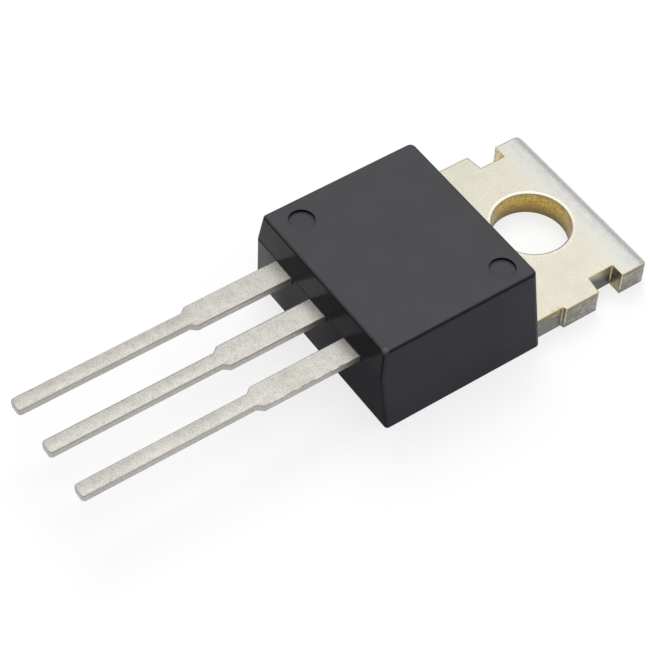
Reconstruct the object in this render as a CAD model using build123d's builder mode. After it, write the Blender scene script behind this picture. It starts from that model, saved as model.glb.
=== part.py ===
"""Linear voltage regulator in a moulded three-lead power package with a screw tab.

Millimetres. The origin is where the axis of the screw hole meets the back face, the flat
face that is bolted to a heat sink. +Y runs from the lead tips towards the free end of the
tab, +Z rises from the back face to the moulded top, and the input lead is on the -X side.

Each inner piece sits face to face on the piece that carries it, and the case is moulded
round all of them, so it is the outer form less everything that it holds.
"""
import os
from math import radians, tan

from build123d import *

# ---------------------------------------------------------------- tab, thick gauge
tab_thickness = 1.27
tab_width = 9.28
hole_diameter = 3.62
hole_edge_break = 0.06  # bevel of the rim that the punch drew down, on the top face
hole_to_tab_end = 2.95
tab_corner_radius = 0.24
tab_end_roll = 0.50  # the blanking punch draws the free end down over this length
tab_end_drop = 0.16

notch_depth = 0.69
notch_length = 1.37
notch_to_tab_end = 1.46
notch_flare = 0.12  # how far the wall nearer the case leans back at the mouth

stub_proud = 0.19  # how far each sheared tie-bar stub stands out from the side
stub_length = 1.87
stub_lead_in = 0.06

# ---------------------------------------------------------------- moulded case
hole_to_case_front = 11.78  # to the plane where the leads come out
case_length = 8.54
case_height = 4.66
case_base_width = 10.02
side_draft = 5.7
rear_draft = 4.6
front_draft_above = 7.9  # above the parting line
front_draft_below = 3.5
case_rear_radius = 0.28
case_front_radius = 0.16
case_top_radius = 0.15

# round marks of two ejector pins; insets run from the edges of the top face to their middles
pin_mark_diameter = 1.2
pin_mark_depth = 0.14
front_mark_side_inset = 1.15
front_mark_front_inset = 1.26
rear_mark_side_inset = 1.02
rear_mark_rear_inset = 1.13

# ---------------------------------------------------------------- leads, thin gauge
lead_pitch = 2.54
lead_thickness = 0.39
lead_underside = 2.81
lead_length = 13.28  # from the case front to the tip
lead_width = 0.74
lead_root_length = 4.75
lead_root_width = 1.20
lead_shoulder = 0.28
lead_shoulder_radius = 0.12
lead_tip_radius = 0.17
lead_edge_roll = 0.05

# ---------------------------------------------------------------- hidden inside the case
lead_embed = 0.70  # straight length of each lead inside the case
crank_angle = 60
crank_radius = 0.30  # on the centre line of the strip
plate_inset = 0.34  # how much narrower the plate is than the tab, on each side
plate_setback = 2.30  # from the case front to the front edge of the plate
plate_neck = 0.40  # from the case rear to where the plate narrows
lock_step = 0.30  # rebate along the lower edges of the plate, which the epoxy fills
lock_height = 0.40

post_width = 2.10
post_length = 1.45
post_gap = 0.55  # between a bond post and the centre lead

chip_width = 2.20
chip_length = 2.00
chip_thickness = 0.30
chip_setback = 3.80  # from the case front to the near edge of the chip
solder_thickness = 0.05
solder_margin = 0.10
pad_inset = 0.45

wire_diameter = 0.20  # across the flats of the eight-sided section that stands for round wire
wire_sides = 8
wire_bend_radius = 0.40
wire_rise_angle = 60
wire_fall_angle = 45
wire_loop_height = 0.45  # of the loop's centre line over the higher of its two feet
ground_foot_gap = 1.45  # from the chip to the middle of the wire's foot on the plate
wire_foot_length = 0.50
wire_foot_width = 0.30
wire_foot_thickness = 0.12

# ---------------------------------------------------------------- places
stub_width = tab_width + 2 * stub_proud
plate_width = tab_width - 2 * plate_inset
case_front = -hole_to_case_front
case_rear = case_front + case_length
case_top_width = case_base_width - 2 * case_height * tan(radians(side_draft))
lead_top = lead_underside + lead_thickness
lead_inner_end = case_front + lead_embed
plate_front = case_front + plate_setback
notch_far_wall = hole_to_tab_end - notch_to_tab_end
notch_near_wall = notch_far_wall - notch_length
stub_start = notch_near_wall - notch_flare - stub_length
case_top_front = case_front + (case_height - lead_top) * tan(radians(front_draft_above))
case_top_rear = case_rear - case_height * tan(radians(rear_draft))
case_foot_front = case_front + lead_top * tan(radians(front_draft_below))


# ---------------------------------------------------------------- one lead, on x = 0
# The blank that all three leads share, from the tip to just inside the case. Its long
# edges are softened by the punch and the plating, and its tip is coined blunt.
with BuildPart() as lead_blank:
    with BuildSketch(Plane.XY.offset(lead_underside)) as lead_plan:
        with BuildLine():
            tip = case_front - lead_length
            shoulder = case_front - lead_root_length
            Polyline(
                (0, tip),
                (lead_width / 2, tip),
                (lead_width / 2, shoulder - lead_shoulder),
                (lead_root_width / 2, shoulder),
                (lead_root_width / 2, lead_inner_end),
                (0, lead_inner_end),
            )
            mirror(about=Plane.YZ)
        make_face()
        corners = lead_plan.vertices().group_by(Axis.Y)
        fillet(corners[0].filter_by(lambda v: abs(v.X) > lead_width / 4), radius=lead_tip_radius)
        corners = lead_plan.vertices().filter_by_position(
            Axis.Y, shoulder - lead_shoulder - lead_edge_roll, shoulder + lead_edge_roll
        )
        fillet(corners, radius=lead_shoulder_radius)
    extrude(amount=lead_thickness)
    inner_face = lead_blank.faces().sort_by(Axis.Y)[-1]
    rims = lead_blank.edges().group_by(Axis.Z)[0] + lead_blank.edges().group_by(Axis.Z)[-1]
    fillet(rims.filter_by(lambda e: e not in inner_face.edges()), radius=lead_edge_roll)


# ---------------------------------------------------------------- tab and centre lead
# One stamping from strip of two thicknesses: the thick mounting tab, the plate that
# carries the chip, and the thin centre lead, cranked down to the level of the plate.
with BuildPart() as heat_sink_tab:
    with BuildSketch() as tab_plan:
        with BuildLine():
            Polyline(
                (0, hole_to_tab_end),
                (tab_width / 2, hole_to_tab_end),
                (tab_width / 2, notch_far_wall),
                (tab_width / 2 - notch_depth, notch_far_wall),
                (tab_width / 2 - notch_depth, notch_near_wall),
                (stub_width / 2, notch_near_wall - notch_flare),
                (stub_width / 2, stub_start + stub_lead_in),
                (tab_width / 2, stub_start),
                (tab_width / 2, case_rear - plate_neck),
                (plate_width / 2, case_rear - plate_neck),
                (plate_width / 2, plate_front),
                (0, plate_front),
            )
            mirror(about=Plane.YZ)
        make_face()
        fillet(
            tab_plan.vertices().group_by(Axis.Y)[-1].filter_by(lambda v: abs(v.X) > tab_width / 4),
            radius=tab_corner_radius,
        )
        Circle(hole_diameter / 2, mode=Mode.SUBTRACT)
    extrude(amount=tab_thickness)

    # the rim of the hole is drawn down a little on the top face
    hole_rim = heat_sink_tab.edges().filter_by(GeomType.CIRCLE).sort_by(SortBy.RADIUS)[-2:]
    chamfer(hole_rim.sort_by(Axis.Z)[-1], length=hole_edge_break)

    # the top face curves down to the free end in a shallow arc
    end_top = (hole_to_tab_end, tab_thickness - tab_end_drop)
    roll_start = (hole_to_tab_end - tab_end_roll, tab_thickness)
    with BuildSketch(Plane.YZ):
        with BuildLine():
            TangentArc(roll_start, end_top, tangent=(1, 0))
            Polyline(end_top, (hole_to_tab_end, tab_thickness), roll_start)
        make_face()
    extrude(amount=tab_width / 2, both=True, mode=Mode.SUBTRACT)

    # rebate along the lower edges of the plate, so that the epoxy hooks under it
    with BuildSketch() as lock_rebate:
        rebate_end = case_rear - plate_neck
        with Locations((0, plate_front)):
            Rectangle(plate_width, rebate_end - plate_front, align=(Align.CENTER, Align.MIN))
        with Locations((0, plate_front + lock_step)):
            Rectangle(
                plate_width - 2 * lock_step,
                rebate_end - plate_front - lock_step,
                align=(Align.CENTER, Align.MIN),
                mode=Mode.SUBTRACT,
            )
    extrude(amount=lock_height, mode=Mode.SUBTRACT)

    # the crank, down from the level of the leads to the top of the plate
    with BuildSketch(Plane.YZ) as crank_profile:
        with BuildLine() as crank_line:
            upper = lead_underside + lead_thickness / 2
            lower = tab_thickness - lead_thickness / 2
            foot = plate_front - crank_radius
            head = foot - (upper - lower) / tan(radians(crank_angle))
            FilletPolyline(
                (lead_inner_end, upper), (head, upper), (foot, lower), (plate_front, lower),
                radius=crank_radius,
            )
        trace(line_width=lead_thickness)
    extrude(amount=lead_root_width / 2, both=True)
    add(lead_blank.part)

heat_sink_tab.part.label = "heat_sink_tab"

# ---------------------------------------------------------------- outer leads
# Each ends inside the case in a wide post that takes the wire from the chip. The output
# lead is the same stamping turned over left to right.
post_inner_edge = lead_root_width / 2 + post_gap
post_middle = post_inner_edge + post_width / 2
post_rear = lead_inner_end + post_length


def outer_lead(name, side):
    """Make the lead on the given side, -1 or +1, with its bond post."""
    with BuildPart() as lead:
        with Locations((side * lead_pitch, 0, 0)):
            add(lead_blank.part)
        with BuildSketch(Plane.XY.offset(lead_underside)):
            with Locations((side * post_middle, lead_inner_end)):
                Rectangle(post_width, post_length, align=(Align.CENTER, Align.MIN))
        extrude(amount=lead_thickness)
    lead.part.label = name
    return lead.part


input_lead = outer_lead("input_lead", -1)
output_lead = outer_lead("output_lead", 1)

# ---------------------------------------------------------------- solder and chip
chip_middle = case_front + chip_setback + chip_length / 2
chip_underside = tab_thickness + solder_thickness
chip_top = chip_underside + chip_thickness

with BuildPart() as die_solder:
    with BuildSketch(Plane.XY.offset(tab_thickness)):
        with Locations((0, chip_middle)):
            Rectangle(chip_width + 2 * solder_margin, chip_length + 2 * solder_margin)
    extrude(amount=solder_thickness)

die_solder.part.label = "die_solder"

with BuildPart() as regulator_chip:
    with BuildSketch(Plane.XY.offset(chip_underside)):
        with Locations((0, chip_middle)):
            Rectangle(chip_width, chip_length)
    extrude(amount=chip_thickness)

regulator_chip.part.label = "regulator_chip"

# ---------------------------------------------------------------- bond wires
# Round aluminium wire, flattened into a foot by the wedge tool where it is welded down.
pad_x = chip_width / 2 - pad_inset
pad_y = chip_length / 2 - pad_inset
post_pad_y = post_rear - wire_foot_length


def bond_wire(name, start, end):
    """Make a looped wire from a foot at start to a foot at end, both on flat surfaces."""
    span = Vector(end.X - start.X, end.Y - start.Y)
    along = span.normalized()
    drop = end.Z - start.Z
    peak = max(drop, 0) + wire_loop_height
    lift = wire_diameter / 2
    with BuildPart() as wire:
        with BuildLine(Plane(origin=start, x_dir=along, z_dir=along.cross(Vector(0, 0, 1)))) as loop:
            FilletPolyline(
                (0, lift),
                ((peak - lift) / tan(radians(wire_rise_angle)), peak),
                (span.length - (peak - drop - lift) / tan(radians(wire_fall_angle)), peak),
                (span.length, drop + lift),
                radius=wire_bend_radius,
            )
        with BuildSketch(Plane(origin=loop.line @ 0, z_dir=loop.line % 0)):
            RegularPolygon(wire_diameter / 2, wire_sides, major_radius=False)
        sweep()
        for point in (start, end):
            with BuildSketch(Plane(origin=point, x_dir=along, z_dir=(0, 0, 1))):
                Rectangle(wire_foot_length, wire_foot_width)
            extrude(amount=wire_foot_thickness)
    wire.part.label = name
    return wire.part


input_bond_wire = bond_wire(
    "input_bond_wire",
    Vector(-pad_x, chip_middle - pad_y, chip_top),
    Vector(-post_middle, post_pad_y, lead_top),
)
output_bond_wire = bond_wire(
    "output_bond_wire",
    Vector(pad_x, chip_middle - pad_y, chip_top),
    Vector(post_middle, post_pad_y, lead_top),
)
ground_bond_wire = bond_wire(
    "ground_bond_wire",
    Vector(pad_x, chip_middle + pad_y, chip_top),
    Vector(pad_x, chip_middle + chip_length / 2 + ground_foot_gap, tab_thickness),
)

# ---------------------------------------------------------------- moulded case
# Epoxy, transfer moulded round the rest. The mould halves meet on the front face at the
# top of the leads, and every wall is drafted away from that line or from the back face.
with BuildPart() as moulded_case:
    with BuildSketch(Plane.YZ):
        with BuildLine():
            Polyline(
                (case_foot_front, 0),
                (case_front, lead_top),
                (case_top_front, case_height),
                (case_top_rear, case_height),
                (case_rear, 0),
                close=True,
            )
        make_face()
    extrude(amount=case_base_width / 2, both=True)
    with BuildSketch(Plane.XZ):
        with BuildLine():
            Polyline(
                (-case_base_width / 2, 0),
                (-case_top_width / 2, case_height),
                (case_top_width / 2, case_height),
                (case_base_width / 2, 0),
                close=True,
            )
        make_face()
    extrude(amount=hole_to_case_front, both=True, mode=Mode.INTERSECT)

    uprights = moulded_case.edges().filter_by(lambda e: abs(e.tangent_at(0.5).Z) > 0.5)
    front_uprights, rear_uprights = uprights.sort_by(Axis.Y)[:4], uprights.sort_by(Axis.Y)[4:]
    fillet(rear_uprights, radius=case_rear_radius)
    fillet(front_uprights, radius=case_front_radius)
    fillet(moulded_case.edges().group_by(Axis.Z)[-1], radius=case_top_radius)

    # round recesses left by the two ejector pins, at opposite corners of the top
    top_side = case_top_width / 2
    front_mark = (front_mark_side_inset - top_side, case_top_front + front_mark_front_inset)
    rear_mark = (top_side - rear_mark_side_inset, case_top_rear - rear_mark_rear_inset)
    with BuildSketch(Plane.XY.offset(case_height)):
        with Locations(front_mark, rear_mark):
            Circle(pin_mark_diameter / 2)
    extrude(amount=-pin_mark_depth, mode=Mode.SUBTRACT)

    # the epoxy stops wherever it meets what it holds
    add(heat_sink_tab.part, mode=Mode.SUBTRACT)
    add(input_lead, mode=Mode.SUBTRACT)
    add(output_lead, mode=Mode.SUBTRACT)
    add(die_solder.part, mode=Mode.SUBTRACT)
    add(regulator_chip.part, mode=Mode.SUBTRACT)
    add(input_bond_wire, mode=Mode.SUBTRACT)
    add(output_bond_wire, mode=Mode.SUBTRACT)
    add(ground_bond_wire, mode=Mode.SUBTRACT)

moulded_case.part.label = "moulded_case"

# ---------------------------------------------------------------- files
os.makedirs("parts", exist_ok=True)
export_step(moulded_case.part, "parts/moulded_case.step")
export_step(heat_sink_tab.part, "parts/heat_sink_tab.step")
export_step(input_lead, "parts/input_lead.step")
export_step(output_lead, "parts/output_lead.step")
export_step(die_solder.part, "parts/die_solder.step")
export_step(regulator_chip.part, "parts/regulator_chip.step")
export_step(input_bond_wire, "parts/input_bond_wire.step")
export_step(output_bond_wire, "parts/output_bond_wire.step")
export_step(ground_bond_wire, "parts/ground_bond_wire.step")
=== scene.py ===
"""Looks of the voltage regulator: the finish of each piece, the stage and the camera.

Metres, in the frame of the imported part: the origin is where the axis of the screw hole meets
the back face, +Y runs towards the free end of the tab and +Z rises to the moulded top.
"""

import math

import bpy
from mathutils import Matrix, Vector, noise


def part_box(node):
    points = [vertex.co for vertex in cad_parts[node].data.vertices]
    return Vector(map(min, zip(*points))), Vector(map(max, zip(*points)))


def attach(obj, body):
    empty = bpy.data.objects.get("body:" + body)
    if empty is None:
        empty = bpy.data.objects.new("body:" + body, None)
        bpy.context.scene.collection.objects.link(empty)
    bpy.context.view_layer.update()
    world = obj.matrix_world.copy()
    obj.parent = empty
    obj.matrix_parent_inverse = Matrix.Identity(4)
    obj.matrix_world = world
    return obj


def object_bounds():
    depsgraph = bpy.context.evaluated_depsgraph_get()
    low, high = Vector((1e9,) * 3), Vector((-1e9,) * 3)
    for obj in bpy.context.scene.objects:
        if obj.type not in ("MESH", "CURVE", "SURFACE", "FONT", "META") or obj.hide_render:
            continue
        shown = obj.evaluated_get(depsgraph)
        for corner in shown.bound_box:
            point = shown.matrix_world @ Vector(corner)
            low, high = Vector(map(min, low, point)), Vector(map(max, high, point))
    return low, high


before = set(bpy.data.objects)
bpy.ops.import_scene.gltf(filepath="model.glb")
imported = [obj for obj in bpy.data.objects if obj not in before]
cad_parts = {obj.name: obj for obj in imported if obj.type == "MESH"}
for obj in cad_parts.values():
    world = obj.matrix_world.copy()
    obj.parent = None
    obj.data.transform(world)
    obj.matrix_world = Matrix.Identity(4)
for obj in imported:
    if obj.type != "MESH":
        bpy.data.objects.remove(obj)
cad_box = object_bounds()
MM = 0.001

# ---------------------------------------------------------------- moulded case
# Black epoxy, transfer moulded round the lead frame. The top was formed by a spark-eroded
# face of the mould and is matt and grey; the drafted walls are smoother and a little deeper black.
# Painted shade and light lie on the walls, the front and the edges of the top, and the gloss of
# the front is tuned by place on the part.


class Finish:
    """A material with a principled shader, and short calls that add and join its nodes."""

    def __init__(self, name, **sockets):
        self.material = bpy.data.materials.new(name)
        self.material.use_nodes = True
        self.tree = self.material.node_tree
        self.shader = self.tree.nodes["Principled BSDF"]
        for socket, value in sockets.items():
            self.shader.inputs[socket.replace("_", " ")].default_value = value
        self.place = self.add("ShaderNodeTexCoord").outputs["Object"]
        self.x, self.y, self.z = self.split(self.place)
        self.true_normal = self.add("ShaderNodeNewGeometry").outputs["True Normal"]
        self.nx, self.ny, self.nz = self.split(self.true_normal)

    def add(self, kind, **settings):
        node = self.tree.nodes.new(kind)
        for name, value in settings.items():
            setattr(node, name, value)
        return node

    def feed(self, socket, value):
        if isinstance(value, bpy.types.NodeSocket):
            self.tree.links.new(value, socket)
        else:
            socket.default_value = value

    def split(self, vector):
        node = self.add("ShaderNodeSeparateXYZ")
        self.feed(node.inputs[0], vector)
        return node.outputs

    def math(self, operation, first, second=0.0):
        node = self.add("ShaderNodeMath", operation=operation)
        self.feed(node.inputs[0], first)
        self.feed(node.inputs[1], second)
        return node.outputs[0]

    def times(self, *values):
        product = values[0]
        for value in values[1:]:
            product = self.math("MULTIPLY", product, value)
        return product

    def size_of(self, value):
        return self.math("ABSOLUTE", value)

    def spread(self, value, low, high, to_low=0.0, to_high=1.0):
        """Smoothly map value from low..high to to_low..to_high."""
        node = self.add("ShaderNodeMapRange", interpolation_type="SMOOTHSTEP")
        for socket, entry in zip(node.inputs, (value, low, high, to_low, to_high)):
            self.feed(socket, entry)
        return node.outputs[0]

    def blend(self, share, first, second, mode="MIX"):
        """Colours (three numbers or a socket) mixed by share."""
        node = self.add("ShaderNodeMix", data_type="RGBA", blend_type=mode)
        self.feed(node.inputs[0], share)
        for socket, colour in ((node.inputs[6], first), (node.inputs[7], second)):
            self.feed(socket, (*colour, 1) if isinstance(colour, tuple) else colour)
        return node.outputs[2]

    def grain(self, size, detail=3.0, stretch=(1, 1, 1)):
        """Noise whose grains are about size metres across, drawn out by stretch."""
        scaled = self.add("ShaderNodeMapping", vector_type="POINT")
        scaled.inputs["Scale"].default_value = [1 / size / s for s in stretch]
        self.feed(scaled.inputs["Vector"], self.place)
        cloud = self.add("ShaderNodeTexNoise")
        self.feed(cloud.inputs["Vector"], scaled.outputs[0])
        cloud.inputs["Scale"].default_value = 1.0
        cloud.inputs["Detail"].default_value = detail
        return cloud.outputs[0]

    def distance_to(self, point):
        """Distance in metres from a point given in millimetres."""
        node = self.add("ShaderNodeVectorMath", operation="DISTANCE")
        self.feed(node.inputs[0], self.place)
        node.inputs[1].default_value = [c * MM for c in point]
        return node.outputs["Value"]

    def rounded(self, radius):
        """The normal, with every edge rounded over about radius metres."""
        node = self.add("ShaderNodeBevel", samples=8)
        node.inputs["Radius"].default_value = radius
        return node.outputs[0]

    def edge(self, radius):
        """0 on flat ground, rising to 1 at an edge over about radius metres."""
        dot = self.add("ShaderNodeVectorMath", operation="DOT_PRODUCT")
        self.feed(dot.inputs[0], self.rounded(radius))
        self.feed(dot.inputs[1], self.true_normal)
        return self.spread(dot.outputs["Value"], 0.995, 0.80)

    def colour(self, value):
        self.feed(self.shader.inputs["Base Color"], value)

    def roughness(self, value):
        self.feed(self.shader.inputs["Roughness"], value)

    def relief(self, height, depth, edge_radius):
        """Bump of the given depth in metres, over edges rounded by edge_radius."""
        bump = self.add("ShaderNodeBump")
        bump.inputs["Distance"].default_value = depth
        self.feed(bump.inputs["Height"], height)
        self.feed(bump.inputs["Normal"], self.rounded(edge_radius))
        self.feed(self.shader.inputs["Normal"], bump.outputs[0])

    def put_on(self, *nodes):
        """Give CAD nodes this finish in place of the plain one."""
        for name in nodes:
            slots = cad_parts[name].data.materials
            slots.clear()
            slots.append(self.material)


epoxy = Finish("black_epoxy", Specular_IOR_Level=0.05, Coat_Roughness=0.12)
eroded = epoxy.grain(0.055 * MM, detail=2.0)
cloudy = epoxy.spread(epoxy.grain(1.6 * MM, detail=6.0), 0.25, 0.75)
turned = epoxy.split(epoxy.rounded(0.36 * MM))
turned_y, turned_up = turned[1], turned[2]
upward = epoxy.spread(turned_up, 0.50, 0.99)
downward = epoxy.spread(epoxy.nz, -0.02, -0.05)
matt_top = epoxy.blend(cloudy, (0.066, 0.066, 0.070), (0.071, 0.072, 0.078))
smooth_wall_and_painted_shade = epoxy.blend(cloudy, (0.0575, 0.057, 0.071), (0.062, 0.061, 0.0765))
# painted shade darkens the walls towards the bottom, and painted light brightens them towards the tab
painted_wall_light_and_shade = epoxy.math(
    "ADD",
    epoxy.spread(epoxy.z, 0.3 * MM, 2.2 * MM, 0.88, 1.0),
    epoxy.spread(epoxy.y, -6.5 * MM, -3.8 * MM, 0.0, 0.14),
)
smooth_wall_and_painted_shade = epoxy.blend(1.0, smooth_wall_and_painted_shade, painted_wall_light_and_shade, mode="MULTIPLY")
# painted shade: the front face is painted far blacker than the other walls
front = epoxy.spread(epoxy.ny, -0.6, -0.9)
smooth_wall_and_painted_shade = epoxy.blend(front, smooth_wall_and_painted_shade, (0.0075, 0.0072, 0.0115))
leftward = epoxy.spread(epoxy.x, 2.8 * MM, -1.6 * MM)
far_left = epoxy.spread(epoxy.x, -2.3 * MM, -4.5 * MM)
upper_gloss = epoxy.math("ADD", epoxy.spread(leftward, 0, 1, 0.08, 0.25), epoxy.times(far_left, 0.10))
lower_gloss = epoxy.math("ADD", epoxy.spread(leftward, 0, 1, 0.05, 0.17), epoxy.times(far_left, 0.34))
front_gloss = epoxy.spread(epoxy.nz, -0.02, 0.06, lower_gloss, upper_gloss)
front_face = epoxy.spread(epoxy.ny, -0.97, -0.985)
epoxy.feed(epoxy.shader.inputs["Coat Weight"], epoxy.times(front_face, front_gloss))
body_black = epoxy.blend(upward, smooth_wall_and_painted_shade, matt_top)
inboard = epoxy.times(
    epoxy.spread(epoxy.size_of(epoxy.x), 4.45 * MM, 4.40 * MM),
    epoxy.spread(epoxy.y, -11.35 * MM, -11.30 * MM),
    epoxy.spread(epoxy.y, -3.72 * MM, -3.77 * MM),
)
# painted shade: a dark band where the top turns over its rounded edges, fainter on the front
turning = epoxy.times(epoxy.spread(turned_up, 0.25, 0.62), epoxy.spread(turned_up, 0.985, 0.75))
painted_shade_at_edges = epoxy.times(
    turning, epoxy.math("SUBTRACT", 1.0, inboard), epoxy.spread(turned_y, -0.10, -0.35, 0.85, 0.25)
)
body_black = epoxy.blend(painted_shade_at_edges, body_black, (0.005, 0.005, 0.006))
upright = epoxy.spread(epoxy.nz, 0.5, 0.2)
# painted shade: the walls of the pin marks are painted nearly black
painted_shade_in_marks = epoxy.times(upright, epoxy.spread(epoxy.z, 4.3 * MM, 4.4 * MM), inboard, 0.9)
body_black = epoxy.blend(painted_shade_in_marks, body_black, (0.004, 0.004, 0.005))
# every edge is drawn a tenth of the way towards mid grey, which on the black front and the dark bands
# is a painted highlight
body_black = epoxy.blend(epoxy.times(epoxy.edge(0.08 * MM), 0.1), body_black, (0.06, 0.06, 0.06))
front_right_corner = (4.40, -11.50, 4.64)
# the front right top corner is painted paler
paler_corner_spot = epoxy.spread(epoxy.distance_to(front_right_corner), 0.26 * MM, 0.04 * MM)
body_black = epoxy.blend(epoxy.times(paler_corner_spot, 0.42), body_black, (0.16, 0.155, 0.15))
epoxy.colour(body_black)
dull = epoxy.math("ADD", epoxy.spread(upward, 0, 1, 0.22, 0.34), epoxy.times(downward, 0.4))
epoxy.roughness(epoxy.math("ADD", dull, epoxy.spread(eroded, 0.3, 0.7, 0.0, 0.08)))
epoxy.relief(eroded, 0.0010 * MM, edge_radius=0.03 * MM)
epoxy.put_on("moulded_case")

# ---------------------------------------------------------------- flash on the parting line
# Where the two halves of the mould met, a hair of resin stands along the front of the case,
# and a thin skin of it bled a little way out along each lead.
case_low, case_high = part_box("moulded_case")
lead_low, lead_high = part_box("input_lead")
side_draft = math.radians(5.7)
flash_end = case_high.x - lead_high.z * math.tan(side_draft) - 0.15 * MM


def ragged(x, z, amount):
    """A steady uneven offset, up to about amount metres."""
    return amount * noise.noise(Vector((x / (0.22 * MM), z / (0.22 * MM), 3.7)))


def skin(name, loops, closed, finish=epoxy):
    """A thin mesh strung between loops of points of equal length, laid on the part."""
    count = len(loops[0])
    faces = []
    for row in range(0, (len(loops) - 1) * count, count):
        for i in range(count if closed else count - 1):
            j = (i + 1) % count
            faces.append((row + i, row + j, row + count + j, row + count + i))
    mesh = bpy.data.meshes.new(name)
    mesh.from_pydata([point for loop in loops for point in loop], [], faces)
    mesh.materials.append(finish.material)
    for face in mesh.polygons:
        face.use_smooth = True
    piece = bpy.data.objects.new(name, mesh)
    bpy.context.scene.collection.objects.link(piece)
    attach(piece, "root")


flash_height, flash_depth = 0.020 * MM, 0.028 * MM
steps = 160
ridge = []
for rise, out in ((1.3, -0.35), (0.4, 0.8), (0.0, 1.0), (-0.4, 0.8), (-1.3, -0.35)):
    loop = []
    for i in range(steps + 1):
        x = flash_end * (2 * i / steps - 1)
        reach = flash_depth * out + (ragged(x, 0, 0.010 * MM) if out > 0 else 0)
        loop.append((x, case_low.y - reach, lead_high.z + flash_height * rise + 0.012 * MM))
    ridge.append(loop)
skin("parting_flash", ridge, closed=False)

lead_pitch = 2.54 * MM
half_pitch = lead_pitch / 2
root_half_width = 0.60 * MM
half_height = (lead_high.z - lead_low.z) / 2
middle_z = (lead_high.z + lead_low.z) / 2
for name, middle_x in (
    ("input_bleed", -lead_pitch), ("ground_bleed", 0.0), ("output_bleed", lead_pitch)
):
    loops = []
    for stand_off, forward, uneven in (
        (0.022, -0.040, 0.0), (0.018, 0.008, 0.004), (0.008, 0.032, 0.012), (-0.004, 0.046, 0.018)
    ):
        half_x = root_half_width + stand_off * MM
        half_z = half_height + stand_off * MM
        loop = []
        for across, up, points in ((0, 1, 26), (1, 0, 10), (0, -1, 26), (-1, 0, 10)):
            for i in range(points):
                along = 2 * i / points - 1
                x = middle_x + half_x * (across + along * up)
                z = middle_z + half_z * (up - along * across)
                reach = (0.3 if across else 1) * forward * MM + ragged(x, z, uneven * MM)
                loop.append((x, case_low.y - reach, z))
        loops.append(loop)
    skin(name, loops, closed=True)

# ---------------------------------------------------------------- outer leads
# Punched copper strip with a matte tin plate. The plate is finely crystalline, so it looks
# sandy; the cut sides are duller and partly painted darker as painted shade, and near the case
# they show the warmer metal below. Painted light and shade lie across the tops and along
# their edges, painted light lies on the tops near the case, and the right lead has a painted glint.


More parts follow.
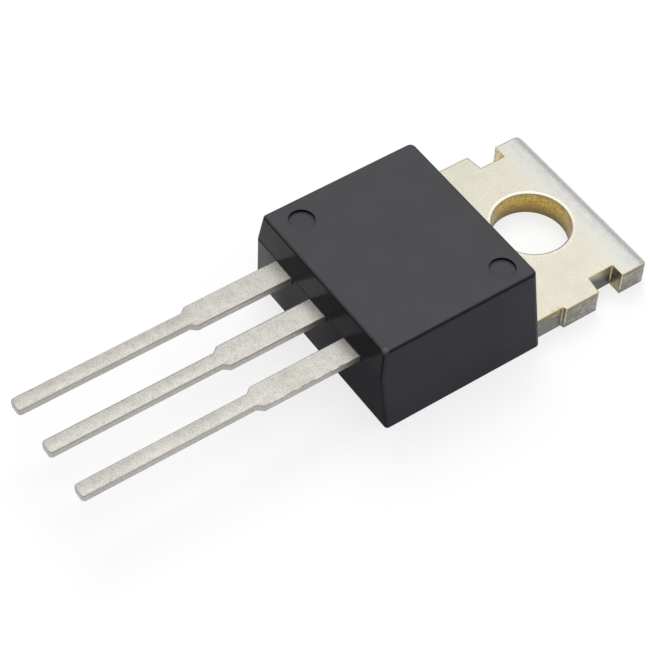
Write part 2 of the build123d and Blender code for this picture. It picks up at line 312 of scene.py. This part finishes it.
class Stamping(Finish):
    """A plated stamping: knows the faces that the punch cut, and how its tin looks."""

    def __init__(self, name, **sockets):
        super().__init__(name, Metallic=1.0, **sockets)
        self.cut = self.spread(self.size_of(self.nz), 0.75, 0.25)

    def from_axis(self):
        """Distance from the axis of the screw hole."""
        squares = self.math("ADD", self.times(self.x, self.x), self.times(self.y, self.y))
        return self.math("SQRT", squares)

    def lead_tin(self):
        """Colour, roughness and relief of the tin on a lead."""
        sand = self.grain(0.048 * MM, detail=3.0)
        tint = self.grain(1.2 * MM, detail=3.0)
        patches = self.grain(0.35 * MM, detail=4.0)
        top = self.blend(self.spread(sand, 0.3, 0.7), (0.47, 0.455, 0.425), (0.74, 0.725, 0.685))
        top = self.blend(self.times(self.spread(patches, 0.35, 0.7), 0.5), top, (0.73, 0.72, 0.68))
        flecks = self.spread(self.grain(0.045 * MM, detail=1.0), 0.68, 0.75)
        top = self.blend(self.times(flecks, 0.7), top, (0.95, 0.94, 0.91))
        hue = self.blend(self.spread(tint, 0.35, 0.65), (1.015, 0.995, 0.99), (0.99, 1.00, 0.965))
        top = self.blend(1.0, top, hue, mode="MULTIPLY")
        # the cut sides are duller metal, and their darker colour is partly painted shade
        side = self.blend(self.spread(sand, 0.3, 0.7), (0.38, 0.365, 0.335), (0.55, 0.535, 0.51))
        # painted shade: a thin darker band along the sides just under the top edge
        painted_shade_under_edge = self.times(
            self.spread(self.z, 3.08 * MM, 3.12 * MM), self.spread(self.z, 3.19 * MM, 3.15 * MM)
        )
        side = self.blend(self.times(painted_shade_under_edge, 0.15), side, (0.22, 0.20, 0.16))
        warm = self.spread(self.y, -13.4 * MM, -11.8 * MM)
        side = self.blend(self.times(warm, 0.5), side, (0.44, 0.39, 0.27))
        wide_part = self.spread(self.y, -16.9 * MM, -16.3 * MM)
        offset = self.math("FLOORED_MODULO", self.math("ADD", self.x, half_pitch), lead_pitch)
        sideways = self.math("SUBTRACT", offset, half_pitch)
        # painted light and shade: each top is painted darker on its left and lighter on its right
        thin_painted_shading = self.blend(
            self.spread(sideways, -0.24 * MM, 0.24 * MM), (0.87, 0.865, 0.86), (1.07, 1.065, 1.06)
        )
        wide_painted_shading = self.blend(
            self.spread(sideways, -0.50 * MM, 0.40 * MM), (0.95, 0.95, 0.96), (1.02, 1.015, 1.00)
        )
        tone = self.blend(wide_part, thin_painted_shading, wide_painted_shading)
        top = self.blend(1.0, top, tone, mode="MULTIPLY")
        # painted light: the tops are painted brighter over their last 1.3 mm before the case
        painted_light_at_root = self.spread(self.y, -13.2 * MM, -11.9 * MM)
        top = self.blend(painted_light_at_root, top, (1.15, 1.15, 1.15), mode="MULTIPLY")
        thin_part = self.math("SUBTRACT", 1.0, wide_part)
        # painted shade on the right shoulder of each thin part
        shoulder = self.times(self.spread(sideways, 0.26 * MM, 0.37 * MM), thin_part, 0.5)
        top = self.blend(shoulder, top, (0.43, 0.415, 0.385))
        # painted shade: a dark brown line along the right edge of each wide part
        right_edge = self.times(self.spread(sideways, 0.545 * MM, 0.565 * MM), wide_part)
        top = self.blend(self.times(right_edge, 0.5), top, (0.36, 0.30, 0.21))
        # painted highlight: a broken bright line along the right edge of the right lead
        on_right_lead = self.spread(self.x, 1.2 * MM, 1.3 * MM)
        painted_glint = self.times(right_edge, on_right_lead, self.spread(patches, 0.40, 0.60), 0.9)
        top = self.blend(painted_glint, top, (1.0, 0.99, 0.94))
        colour = self.blend(self.cut, top, side)
        return colour, self.spread(tint, 0.3, 0.7, 0.36, 0.44), sand


tin = Stamping("matte_tin_on_leads")
lead_colour, lead_roughness, lead_relief = tin.lead_tin()
tin.colour(lead_colour)
tin.roughness(lead_roughness)
tin.relief(lead_relief, 0.004 * MM, edge_radius=0.03 * MM)
tin.put_on("input_lead", "output_lead")

# ---------------------------------------------------------------- tab and centre lead
# One stamping of thick and thin strip. The tab has a smoother, creamier plate than the
# leads, painted greyer towards its free end as a painted reflection. Its sheared sides are grey
# and streaked, partly as painted shade, and its worn edges, the notches and the punched hole
# show brass-coloured metal, with painted shade in the notches and on the right of the hole.
plated = Stamping("matte_tin_on_tab")
lead_colour, lead_roughness, lead_relief = plated.lead_tin()
hole_radius = 1.81 * MM
tab_top = 1.27 * MM

speck = plated.grain(0.10 * MM, detail=4.0)
drift = plated.grain(1.1 * MM, detail=6.0)
cream = plated.blend(plated.spread(drift, 0.3, 0.7), (0.715, 0.69, 0.565), (0.79, 0.757, 0.627))
# painted reflection: towards its free end the top is painted greyer and, at the very end, paler
cream = plated.blend(plated.spread(plated.y, 0.5 * MM, 2.4 * MM), cream, (0.76, 0.76, 0.70))
end_streaks = plated.grain(0.16 * MM, detail=4.0, stretch=(4, 1, 1))
towards_end = plated.spread(plated.y, 1.7 * MM, 2.60 * MM)
painted_grey_end = plated.blend(plated.spread(end_streaks, 0.35, 0.65), (0.58, 0.58, 0.575), (0.72, 0.715, 0.70))
cream = plated.blend(plated.times(towards_end, 0.8), cream, painted_grey_end)
cream = plated.blend(plated.spread(plated.y, 2.42 * MM, 2.62 * MM), cream, (0.81, 0.805, 0.80))
by_shoulder = plated.times(
    plated.spread(plated.x, -3.6 * MM, -4.5 * MM), plated.spread(plated.y, -1.0 * MM, -2.2 * MM)
)
cream = plated.blend(plated.times(by_shoulder, 0.55), cream, (0.76, 0.64, 0.36))
cream = plated.blend(plated.times(plated.spread(speck, 0.45, 0.75), 0.5), cream, (0.91, 0.90, 0.82))
cream = plated.blend(plated.times(plated.spread(speck, 0.48, 0.28), 0.5), cream, (0.66, 0.635, 0.53))

pits = plated.spread(plated.grain(0.085 * MM, detail=1.0), 0.63, 0.70)
clusters = plated.spread(plated.grain(1.1 * MM, detail=2.0), 0.46, 0.62)
cream = plated.blend(plated.times(pits, clusters, 0.55), cream, (0.40, 0.35, 0.24))

sheared = plated.grain(0.07 * MM, detail=4.0, stretch=(1, 1, 3))
broken = plated.grain(0.24 * MM, detail=6.0)
blotch = plated.grain(0.32 * MM, detail=3.0)
# the cut sides are duller grey metal, and their darker colour is partly painted shade
side_grey_and_painted_shade = plated.blend(plated.spread(sheared, 0.3, 0.7), (0.27, 0.26, 0.24), (0.41, 0.40, 0.38))
side_grey_and_painted_shade = plated.blend(
    plated.times(plated.spread(broken, 0.60, 0.38), 0.55), side_grey_and_painted_shade, (0.15, 0.145, 0.13)
)
# painted shade along the bottom of the sides
side_grey_and_painted_shade = plated.blend(plated.spread(plated.z, 0.14 * MM, 0.02 * MM), side_grey_and_painted_shade, (0.14, 0.13, 0.11))
# painted shade on the sides near the case
painted_shade_by_case = plated.spread(plated.y, -0.9 * MM, -2.4 * MM)
side_grey_and_painted_shade = plated.blend(plated.times(painted_shade_by_case, 0.65), side_grey_and_painted_shade, (0.15, 0.145, 0.13))
blotched = plated.times(plated.spread(blotch, 0.48, 0.66), 0.45)
side_grey_and_painted_shade = plated.blend(blotched, side_grey_and_painted_shade, (0.20, 0.17, 0.12))
under_edge = plated.times(plated.spread(plated.z, tab_top - 0.24 * MM, tab_top - 0.12 * MM), 0.8)
side_grey_and_painted_shade = plated.blend(under_edge, side_grey_and_painted_shade, (0.24, 0.18, 0.085))

across = plated.size_of(plated.x)
in_notch = plated.times(
    plated.spread(across, 4.60 * MM, 4.56 * MM), plated.spread(across, 3.6 * MM, 3.8 * MM)
)
# painted shade: the notch walls are painted dark low down and towards the case, grey higher up
notch_wall = plated.times(in_notch, plated.spread(plated.size_of(plated.nx), 0.6, 0.9), 0.9)
high = plated.math("ADD", plated.z, plated.times(plated.y, 0.35))
notch_grey_and_painted_shade = plated.blend(
    plated.spread(high, 0.85 * MM, 1.45 * MM), (0.10, 0.097, 0.095), (0.50, 0.48, 0.40)
)
side_grey_and_painted_shade = plated.blend(notch_wall, side_grey_and_painted_shade, notch_grey_and_painted_shade)
patchy = plated.spread(broken, 0.38, 0.62)
# the far walls of the notches are mottled gold, painted darker on the right notch as painted shade
mottled_gold = plated.blend(
    plated.spread(plated.x, -1.0 * MM, 1.0 * MM),
    plated.blend(patchy, (0.55, 0.44, 0.22), (0.86, 0.68, 0.34)),
    plated.blend(patchy, (0.17, 0.155, 0.10), (0.36, 0.31, 0.17)),
)
far_wall = plated.times(in_notch, plated.spread(plated.ny, -0.6, -0.9), 0.9)
side_grey_and_painted_shade = plated.blend(far_wall, side_grey_and_painted_shade, mottled_gold)

around = plated.add("ShaderNodeCombineXYZ")
plated.feed(around.inputs[0], plated.times(plated.math("ARCTAN2", plated.y, plated.x), 3.5))
plated.feed(around.inputs[1], plated.times(plated.z, 1 / (0.045 * MM)))
brushed = plated.add("ShaderNodeTexNoise")
plated.feed(brushed.inputs["Vector"], around.outputs[0])
brushed.inputs["Scale"].default_value = 1.0
brushed.inputs["Detail"].default_value = 6.0
scraped = plated.math("ADD", plated.times(brushed.outputs[0], 0.6), plated.times(sheared, 0.4))
streaks = plated.spread(scraped, 0.38, 0.62)
brass = plated.blend(streaks, (0.33, 0.21, 0.045), (0.68, 0.485, 0.14))
# painted shade: the wall of the hole is painted darker on its right side
painted_shade_on_right = plated.times(plated.spread(plated.x, 0.2 * MM, 1.6 * MM), 0.7)
brass = plated.blend(painted_shade_on_right, brass, (0.24, 0.175, 0.05))
brass = plated.blend(plated.spread(plated.z, 0.95 * MM, -0.05 * MM), brass, (0.17, 0.13, 0.06))
in_hole = plated.spread(plated.from_axis(), hole_radius + 0.10 * MM, hole_radius + 0.03 * MM)

tab_colour = plated.blend(plated.cut, cream, plated.blend(in_hole, side_grey_and_painted_shade, brass))
worn = plated.times(plated.edge(0.15 * MM), plated.spread(plated.z, 0.1 * MM, 0.4 * MM), 0.9)
tab_colour = plated.blend(worn, tab_colour, (0.80, 0.66, 0.35))
right_stub = (4.95, -2.25, 1.20)
torn = plated.times(
    plated.spread(plated.distance_to(right_stub), 0.55 * MM, 0.30 * MM),
    plated.spread(broken, 0.44, 0.54),
)
tab_colour = plated.blend(plated.times(torn, 0.8), tab_colour, (0.50, 0.39, 0.18))
on_lead = plated.spread(plated.y, -11.0 * MM, -11.2 * MM)
plated.colour(plated.blend(on_lead, tab_colour, lead_colour))
plated.roughness(plated.spread(speck, 0.3, 0.7, 0.34, 0.43))
plated.relief(lead_relief, 0.002 * MM, edge_radius=0.09 * MM)
plated.put_on("heat_sink_tab")

# ---------------------------------------------------------------- rolled rim of the hole
# The punch drew the plate down a little all round the hole as it entered, and the tin on
# that gentle roll is rubbed bright; towards the free end and the left it is painted brighter
# still, a painted highlight.
polished = Stamping("rubbed_tin_and_painted_highlight_on_rim")
rubbed = polished.spread(polished.grain(0.12 * MM, detail=3.0), 0.3, 0.7)
bright = polished.blend(rubbed, (0.97, 0.92, 0.76), (1.0, 0.97, 0.85))
outward = polished.spread(
    polished.from_axis(), hole_radius + 0.07 * MM, hole_radius + 0.20 * MM
)
# painted highlight: the rim is left bright on one side and dimmed to cream on the other
side = polished.math("SUBTRACT", polished.times(polished.y, 0.6), polished.times(polished.x, 0.8))
outer_ring_and_painted_dim_side = polished.math("MAXIMUM", outward, polished.spread(side, 0.9 * MM, -0.4 * MM))
rim_colour = polished.blend(outer_ring_and_painted_dim_side, bright, (0.76, 0.73, 0.60))
lip = polished.spread(polished.nz, 0.90, 0.65)
polished.colour(polished.blend(lip, rim_colour, (0.84, 0.62, 0.24)))
polished.roughness(polished.spread(rubbed, 0.0, 1.0, 0.28, 0.38))
polished.relief(rubbed, 0.0005 * MM, edge_radius=0.01 * MM)
turns = 144
loops = []
for beyond, level in (
    (0.001, -0.054), (0.008, -0.034), (0.034, -0.018), (0.064, 0.0008), (0.100, 0.0014),
    (0.150, 0.0014), (0.200, 0.0012), (0.215, 0.0003),
):
    radius = hole_radius + beyond * MM
    angles = [math.tau * i / turns for i in range(turns)]
    loops.append(
        [(radius * math.cos(a), radius * math.sin(a), tab_top + level * MM) for a in angles]
    )
skin("hole_rim", loops, closed=True, finish=polished)

# ---------------------------------------------------------------- pieces sealed in the case
# The chip, its solder and the bond wires are never seen from outside, and get the plain
# look of soft solder, sawn silicon and drawn aluminium.
for name, dark, light, roughness, nodes in (
    ("soft_solder", (0.38, 0.38, 0.39), (0.47, 0.47, 0.48), 0.5, ["die_solder"]),
    ("silicon", (0.13, 0.14, 0.17), (0.17, 0.18, 0.21), 0.2, ["regulator_chip"]),
    ("drawn_aluminium", (0.70, 0.70, 0.71), (0.82, 0.82, 0.83), 0.3,
     ["input_bond_wire", "output_bond_wire", "ground_bond_wire"]),
):
    sealed = Finish(name, Metallic=1.0)
    fine = sealed.grain(0.05 * MM)
    sealed.colour(sealed.blend(fine, dark, light))
    sealed.roughness(sealed.spread(fine, 0.3, 0.7, roughness, roughness + 0.1))
    sealed.relief(fine, 0.001 * MM, edge_radius=0.01 * MM)
    sealed.put_on(*nodes)

# ---------------------------------------------------------------- floor
# A plain white table, just under the back face that the part lies on. It is drawn as white
# as its backdrop to the eye and in mirrors, and keeps a pale shadow.
floor_reach = 3.0
floor_level = cad_box[0].z - 0.01 * MM
corners = ((-1, -1), (1, -1), (1, 1), (-1, 1))
floor_mesh = bpy.data.meshes.new("floor")
floor_mesh.from_pydata(
    [(x * floor_reach, y * floor_reach, floor_level) for x, y in corners], [], [(0, 1, 2, 3)]
)
floor = bpy.data.objects.new("floor", floor_mesh)
bpy.context.scene.collection.objects.link(floor)

floor_albedo = 0.25
paper = Finish("white_paper", Roughness=0.9, Specular_IOR_Level=0.0)
paper.shader.inputs["Base Color"].default_value = (floor_albedo, floor_albedo, floor_albedo, 1)
paper.shader.inputs["Emission Color"].default_value = (1, 1, 1, 1)
path = paper.add("ShaderNodeLightPath")
seen = paper.math("MAXIMUM", path.outputs["Is Camera Ray"], path.outputs["Is Glossy Ray"])
seen = paper.math("MAXIMUM", seen, path.outputs["Is Transmission Ray"])
paper.feed(paper.shader.inputs["Emission Strength"], paper.times(seen, 0.75))
floor_mesh.materials.append(paper.material)

# ---------------------------------------------------------------- light
# A grey studio with a wide soft box overhead, a little to the back left, which the flat
# tops mirror, and a second box beside it that lifts the matt surfaces only.
world = bpy.data.worlds.new("studio")
bpy.context.scene.world = world
world.use_nodes = True
background = world.node_tree.nodes["Background"]
background.inputs["Color"].default_value = (1, 1, 1, 1)
background.inputs["Strength"].default_value = 0.45


def soft_box(name, radiance, size, place, aim):
    """A square lamp of the given radiance and size at place, turned to face aim."""
    lamp = bpy.data.lights.new(name, "AREA")
    lamp.size = size
    lamp.energy = radiance * 4 * size ** 2
    box = bpy.data.objects.new(name, lamp)
    bpy.context.scene.collection.objects.link(box)
    box.location = place
    box.rotation_euler = (Vector(place) - Vector(aim)).to_track_quat("Z", "Y").to_euler()
    return box


soft_box("overhead_box", 0.68, 0.60, (-0.06, 0.12, 0.40), aim=(-0.06, 0.12, 0))
fill = soft_box("matt_fill_box", 3.4, 0.30, (-0.30, 0.15, 0.45), aim=(0, -0.01, 0))
fill.visible_glossy = False

# ---------------------------------------------------------------- camera
# A long lens close by, high over the lead side, aimed a little below the table.
azimuth, elevation, roll = map(math.radians, (53.536, 51.061, 2.421))
aim = Vector((-2.610, -9.556, -2.061)) * MM
distance = 99.344 * MM
lens = bpy.data.cameras.new("camera")
lens.lens = 122.452
lens.sensor_width = 36.0
lens.clip_start = 0.001
lens.clip_end = 10.0
camera = bpy.data.objects.new("camera", lens)
bpy.context.scene.collection.objects.link(camera)
bpy.context.scene.camera = camera
camera.matrix_world = (
    Matrix.Translation(aim)
    @ Matrix.Rotation(azimuth, 4, "Z")
    @ Matrix.Rotation(math.pi / 2 - elevation, 4, "X")
    @ Matrix.Rotation(roll, 4, "Z")
    @ Matrix.Translation((0, 0, distance))
)
bpy.context.scene.view_settings.view_transform = "Standard"
